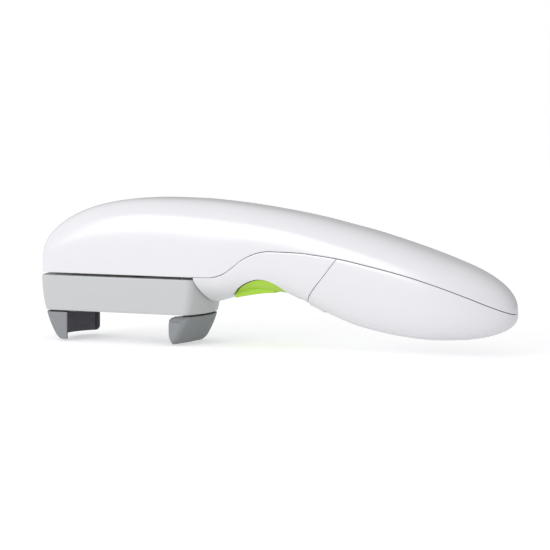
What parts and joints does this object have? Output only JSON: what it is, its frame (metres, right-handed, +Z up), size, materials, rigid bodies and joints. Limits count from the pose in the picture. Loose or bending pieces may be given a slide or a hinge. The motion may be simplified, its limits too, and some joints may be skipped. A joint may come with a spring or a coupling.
{
  "type": "battery bottle opener",
  "caption": "Cordless automatic bottle opener: a curved handle with a motor-driven turntable head whose two sliding jaws grip and turn a cap.",
  "frame": {"origin": "bottom centre of the bounding box; the open jaws' feet are on z = 0", "axes": "+X along the handle from the head to the tail, +Z up, +Y across the handle"},
  "size_m": [0.248, 0.0378, 0.072],
  "materials": {
    "gloss_white_shell": "glossy white moulded plastic",
    "light_grey_carrier": "satin light grey moulded plastic",
    "mid_grey_jaws": "fine matt mid grey moulded plastic",
    "grip_pads": "dark moulded rubber",
    "green_trigger": "satin lime green moulded plastic",
    "nylon_gears": "natural acetal",
    "black_moulding": "black moulded plastic",
    "pins_and_axles": "ground steel",
    "screws": "zinc plated steel",
    "brass_bush": "turned brass",
    "motor_can": null,
    "circuit_board": "green circuit board",
    "springs_and_contacts": "nickel plated spring steel",
    "battery_wrap": null,
    "red_wire": "red insulation",
    "black_wire": "black insulation"
  },
  "bodies": {
    "root": {"top_shell": "gloss_white_shell", "lower_shell": "gloss_white_shell", "trigger_pin": "pins_and_axles", "case_screw_1": "screws", "case_screw_2": "screws", "case_screw_3": "screws", "case_screw_4": "screws", "output_bush": "brass_bush", "gear_axle_1": "pins_and_axles", "gear_axle_2": "pins_and_axles", "gear_axle_3": "pins_and_axles", "gearbox_plate": "nylon_gears", "plate_screw_1": "screws", "plate_screw_2": "screws", "plate_screw_3": "screws", "plate_screw_4": "screws", "motor_can": "motor_can", "motor_cap": "black_moulding", "motor_cradle": "black_moulding", "switch_board": "circuit_board", "switch_body": "black_moulding", "trigger_spring": "springs_and_contacts", "battery_left": "battery_wrap", "battery_right": "battery_wrap", "battery_tray": "black_moulding", "plus_contact": "springs_and_contacts", "minus_contact": "springs_and_contacts", "minus_spring": "springs_and_contacts", "bridge_contact": "springs_and_contacts", "bridge_spring": "springs_and_contacts", "wire_plus": "red_wire", "wire_minus": "black_wire", "wire_motor": "red_wire"},
    "cover": {"battery_cover": "gloss_white_shell"},
    "trigger": {"trigger": "green_trigger"},
    "plunger": {"switch_plunger": "nylon_gears"},
    "carrier": {"carrier_housing": "light_grey_carrier", "carrier_floor": "light_grey_carrier", "carrier_screw_1": "screws", "carrier_screw_2": "screws", "carrier_screw_3": "screws", "carrier_screw_4": "screws", "output_gear": "nylon_gears", "output_shaft": "pins_and_axles", "shaft_clip": "pins_and_axles"},
    "pinion": {"jaw_pinion": "nylon_gears"},
    "rear_jaw": {"rear_jaw": "mid_grey_jaws", "rear_jaw_pad": "grip_pads"},
    "front_jaw": {"front_jaw": "mid_grey_jaws", "front_jaw_pad": "grip_pads"},
    "third_gear": {"third_gear": "nylon_gears"},
    "second_gear": {"second_gear": "nylon_gears"},
    "worm_wheel": {"worm_wheel": "nylon_gears"},
    "rotor": {"worm": "black_moulding", "motor_shaft": "pins_and_axles"}
  },
  "joints": [
    {"name": "carrier_turn", "type": "hinge", "parent": "root", "child": "carrier", "pos_m": [-0.07885, 0, 0.0334], "axis": [0, 0, 1], "continuous": true},
    {"name": "rear_jaw_slide", "type": "slide", "parent": "carrier", "child": "rear_jaw", "axis": [-1, 0, 0], "range_m": [0, 0.017]},
    {"name": "front_jaw_slide", "type": "slide", "parent": "carrier", "child": "front_jaw", "axis": [1, 0, 0], "range_m": [0, 0.017]},
    {"name": "jaw_pinion_turn", "type": "hinge", "parent": "carrier", "child": "pinion", "pos_m": [-0.07885, 0, 0.024], "axis": [0, 0, 1], "range_deg": [0, 139.2]},
    {"name": "third_gear_spin", "type": "hinge", "parent": "root", "child": "third_gear", "pos_m": [-0.06006, -0.00207, 0.041], "axis": [0, 0, 1], "continuous": true},
    {"name": "second_gear_spin", "type": "hinge", "parent": "root", "child": "second_gear", "pos_m": [-0.04494, 0.00345, 0.046], "axis": [0, 0, 1], "continuous": true},
    {"name": "worm_wheel_spin", "type": "hinge", "parent": "root", "child": "worm_wheel", "pos_m": [-0.03206, 0.0084, 0.052], "axis": [0, 0, 1], "continuous": true},
    {"name": "motor_spin", "type": "hinge", "parent": "root", "child": "rotor", "pos_m": [-0.03206, 0, 0.0535], "axis": [1, 0, 0], "continuous": true},
    {"name": "trigger_press", "type": "hinge", "parent": "root", "child": "trigger", "pos_m": [0.01065, 0, 0.0318], "axis": [0, 1, 0], "range_deg": [0, 5], "stiffness_Nm_per_rad": 0.6, "springref_deg": -3.44, "deforming": ["trigger_spring"]},
    {"name": "plunger_press", "type": "slide", "parent": "root", "child": "plunger", "axis": [0, 0, 1], "range_m": [0, 0.0018]},
    {"name": "cover_swing", "type": "hinge", "parent": "root", "child": "cover", "pos_m": [0.12365, 0, 0.0209], "axis": [0, 1, 0], "range_deg": [-60, 0]}
  ],
  "couplings": [
    {"joint": "front_jaw_slide", "follows": "rear_jaw_slide", "ratio": 1},
    {"joint": "jaw_pinion_turn", "follows": "rear_jaw_slide", "rad_per_m": 142.86},
    {"joint": "third_gear_spin", "follows": "carrier_turn", "ratio": -2.5},
    {"joint": "second_gear_spin", "follows": "carrier_turn", "ratio": 9},
    {"joint": "worm_wheel_spin", "follows": "carrier_turn", "ratio": -32.4},
    {"joint": "motor_spin", "follows": "carrier_turn", "ratio": 583.2},
    {"joint": "plunger_press", "follows": "trigger_press", "m_per_rad": 0.0205}
  ]
}
